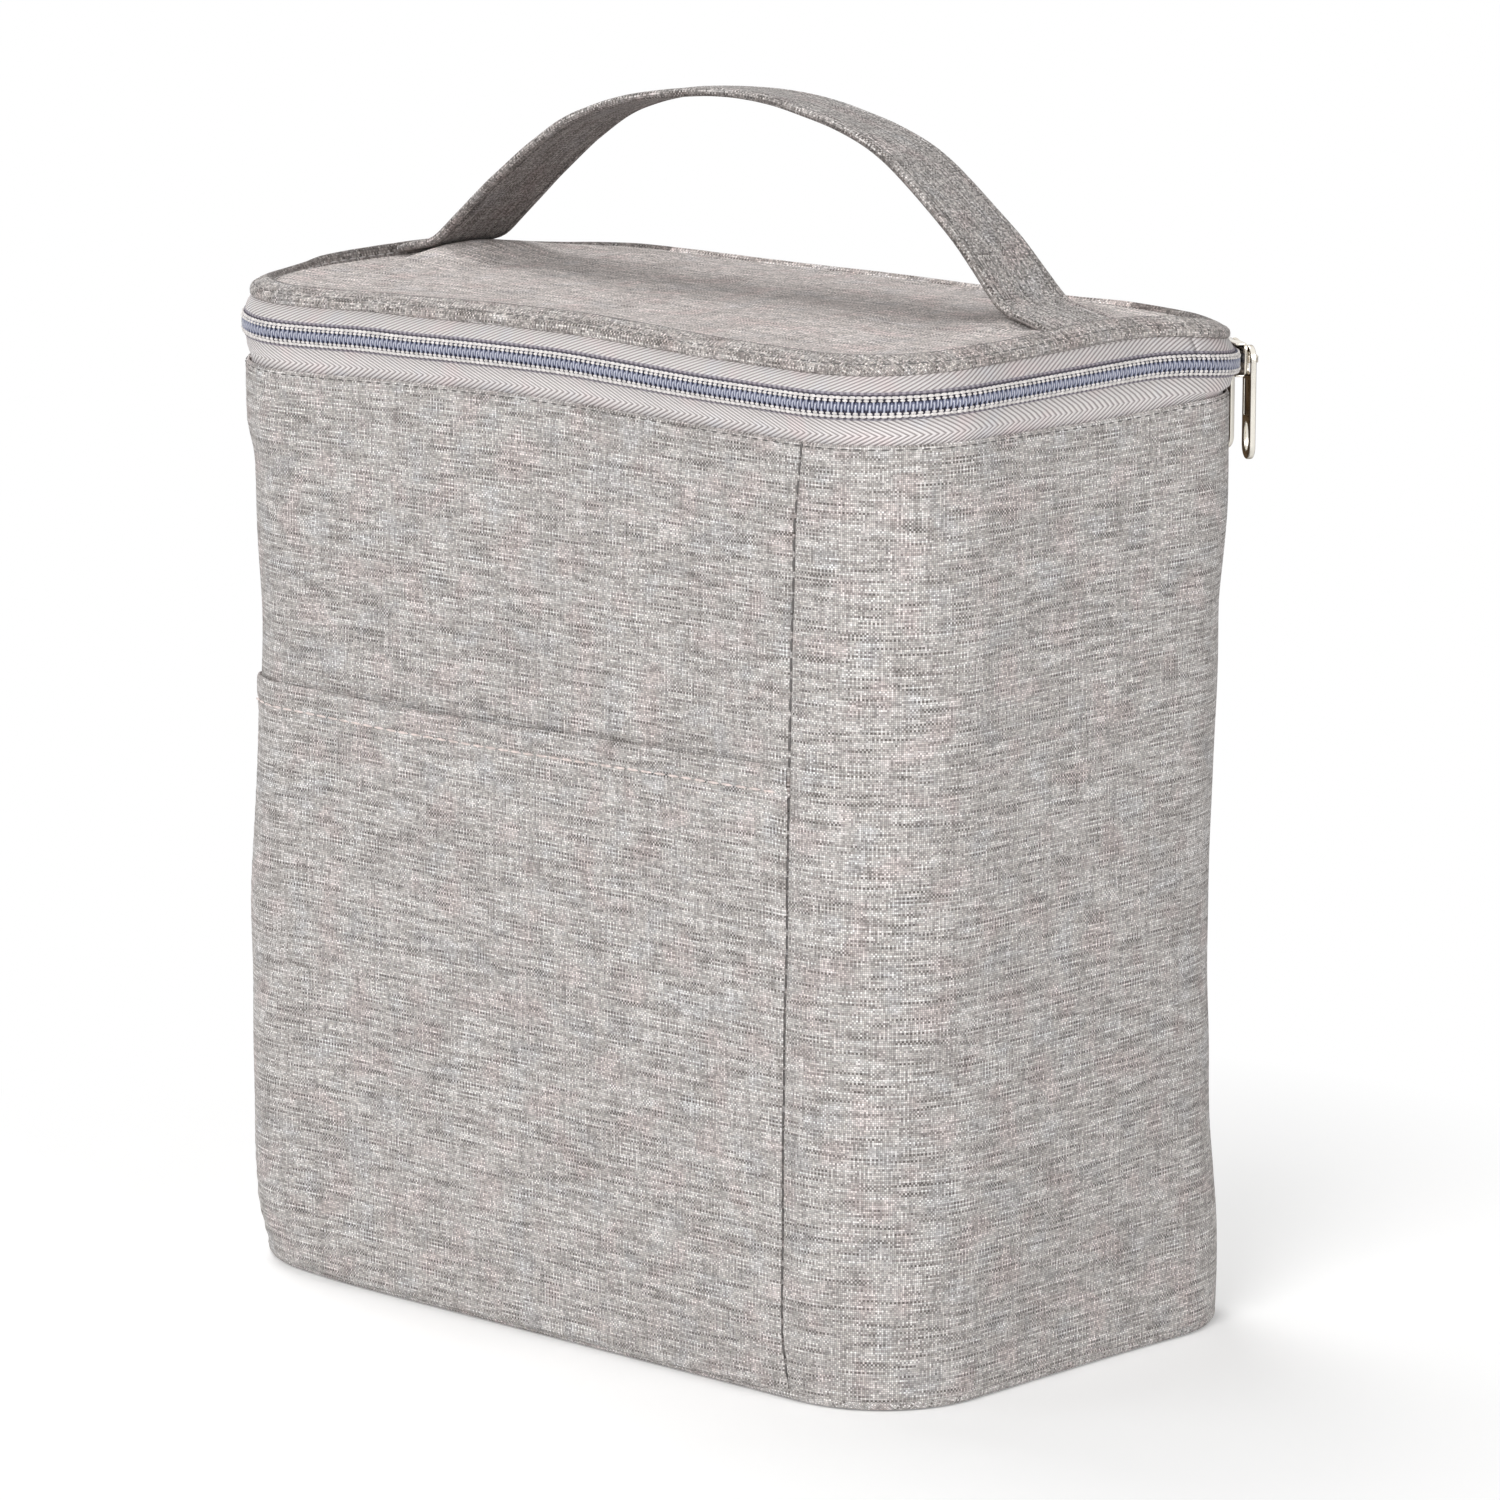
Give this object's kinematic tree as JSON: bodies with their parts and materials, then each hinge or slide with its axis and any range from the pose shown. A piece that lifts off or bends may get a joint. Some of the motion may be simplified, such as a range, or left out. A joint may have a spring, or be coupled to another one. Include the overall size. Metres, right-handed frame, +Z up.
{
  "type": "insulated lunch bag",
  "caption": "Upright box-shaped fabric lunch bag with foam walls, foil lining, front slip pocket, zip-round lid and an arched carrying strap.",
  "frame": {"origin": "middle of the base, on the surface that the bag stands on", "axes": "+X to the bag's right-hand end seen from the front, the front faces -Y, +Z up"},
  "size_m": [0.2246, 0.1403, 0.287],
  "materials": {
    "grey_melange": "matte",
    "foam": "matte",
    "foil_lining": "satin",
    "seam_binding": "matte",
    "zip_tape": "matte",
    "zip_coil": "satin",
    "nickel": "polished"
  },
  "bodies": {
    "bag": {"base_panel": "grey_melange", "base_foam": "foam", "base_lining": "foil_lining", "base_seam_binding": "seam_binding", "front_panel": "grey_melange", "front_pocket": "grey_melange", "front_foam": "foam", "front_lining": "foil_lining", "wrap_panel": "grey_melange", "wrap_foam": "foam", "wrap_lining": "foil_lining", "left_seam_binding": "seam_binding", "right_seam_binding": "seam_binding", "mouth_binding": "seam_binding", "zip_tape_lower": "zip_tape", "zip_coil_lower": "zip_coil", "zip_tape_tail_left": "zip_tape", "zip_coil_tail_left": "zip_coil", "zip_tape_tail_right": "zip_tape", "zip_coil_tail_right": "zip_coil", "zip_stop_left": "nickel", "zip_stop_right": "nickel", "hinge_strip": "grey_melange"},
    "lid": {"lid_panel": "grey_melange", "lid_foam": "foam", "lid_lining": "foil_lining", "lid_seam_binding": "seam_binding", "zip_tape_upper": "zip_tape", "zip_coil_upper": "zip_coil", "strap_end_left": "grey_melange", "strap_end_right": "grey_melange"},
    "strap": {"strap_arch": "grey_melange"},
    "front_slider": {"slider_front": "nickel"},
    "front_pull": {"slider_front_pull": "nickel"},
    "rear_slider": {"slider_rear": "nickel"},
    "rear_pull": {"slider_rear_pull": "nickel"}
  },
  "joints": [
    {"name": "lid_fold", "type": "hinge", "parent": "bag", "child": "lid", "pos_m": [0, 0.0653, 0.2343], "axis": [-1, 0, 0], "range_deg": [0, 140], "deforming": ["hinge_strip"]},
    {"name": "strap_sway", "type": "hinge", "parent": "lid", "child": "strap", "pos_m": [0, 0.006, 0.2407], "axis": [1, 0, 0], "range_deg": [-30, 30], "stiffness_Nm_per_rad": 0.05},
    {"name": "front_slider_travel", "type": "hinge", "parent": "bag", "child": "front_slider", "pos_m": [0.082, 0.037, 0.2284], "axis": [0, 0, 1], "range_deg": [-38, 0]},
    {"name": "front_pull_swing", "type": "hinge", "parent": "front_slider", "child": "front_pull", "pos_m": [0.10377, 0.06212, 0.2284], "axis": [0.5592, 0.829, 0], "range_deg": [-50, 0]},
    {"name": "rear_slider_travel", "type": "hinge", "parent": "bag", "child": "rear_slider", "pos_m": [0.082, 0.037, 0.2284], "axis": [0, 0, 1], "range_deg": [0, 8]},
    {"name": "rear_pull_swing", "type": "hinge", "parent": "rear_slider", "child": "rear_pull", "pos_m": [0.09055, 0.06912, 0.2284], "axis": [0.1392, 0.9903, 0], "range_deg": [0, 50]}
  ]
}
